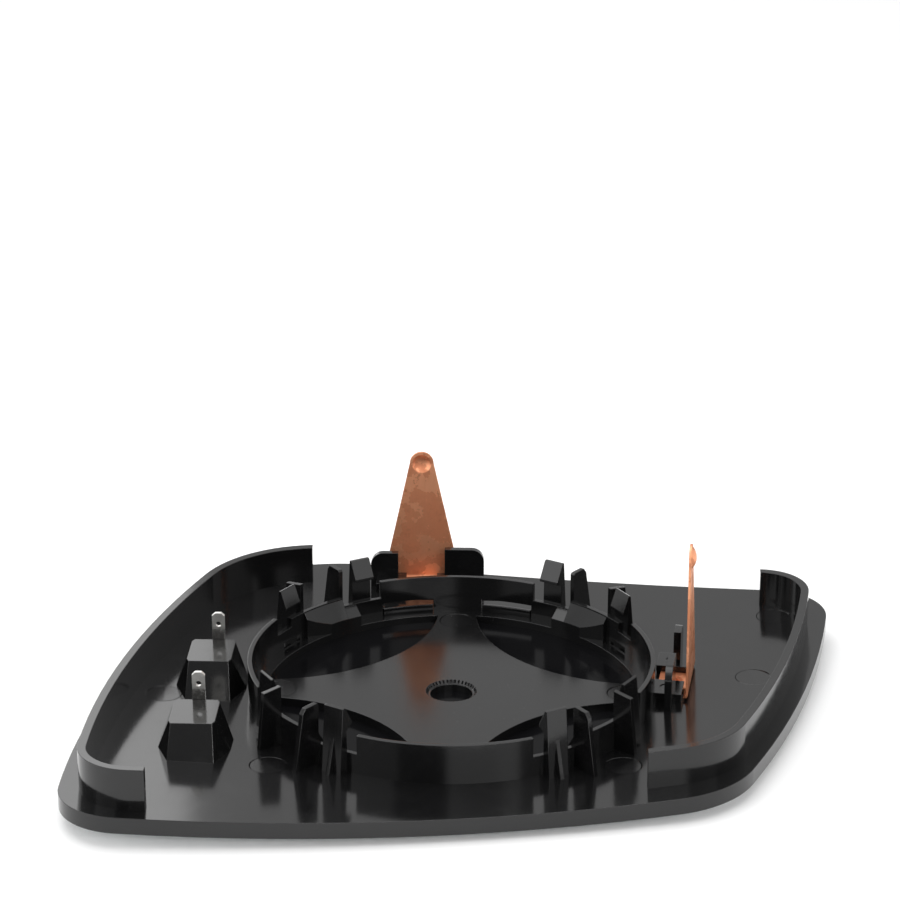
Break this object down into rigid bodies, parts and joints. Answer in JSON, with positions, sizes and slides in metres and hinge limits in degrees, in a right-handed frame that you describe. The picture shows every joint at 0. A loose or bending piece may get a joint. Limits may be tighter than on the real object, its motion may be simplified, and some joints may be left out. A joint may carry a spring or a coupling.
{
  "type": "car door mirror glass",
  "caption": "Convex door mirror glass on a heated moulded backing plate, with a snap-finger clip ring, heater blade terminals and tall copper sensor springs.",
  "frame": {"origin": "on the glass front, on the axis of the clip ring, at the lowest point of the convex glass", "axes": "+Z out of the back along the clip ring's axis, +X towards the mirror's outer end, -Y towards the mirror's upper edge"},
  "size_m": [0.1653, 0.1355, 0.0386],
  "materials": {
    "silvered_glass": "polished mirror",
    "heater_film": "glossy film",
    "black_plastic": "glossy moulded",
    "nickel": "bright plated",
    "copper": "bright sheet with light tarnish"
  },
  "bodies": {
    "root": {"mirror_glass": "silvered_glass", "heater_pad": "heater_film", "backing_plate": "black_plastic", "heater_tab_front": "nickel", "heater_tab_rear": "nickel", "sensor_spring_side": "copper", "sensor_spring_rear": "copper"}
  },
  "joints": []
}
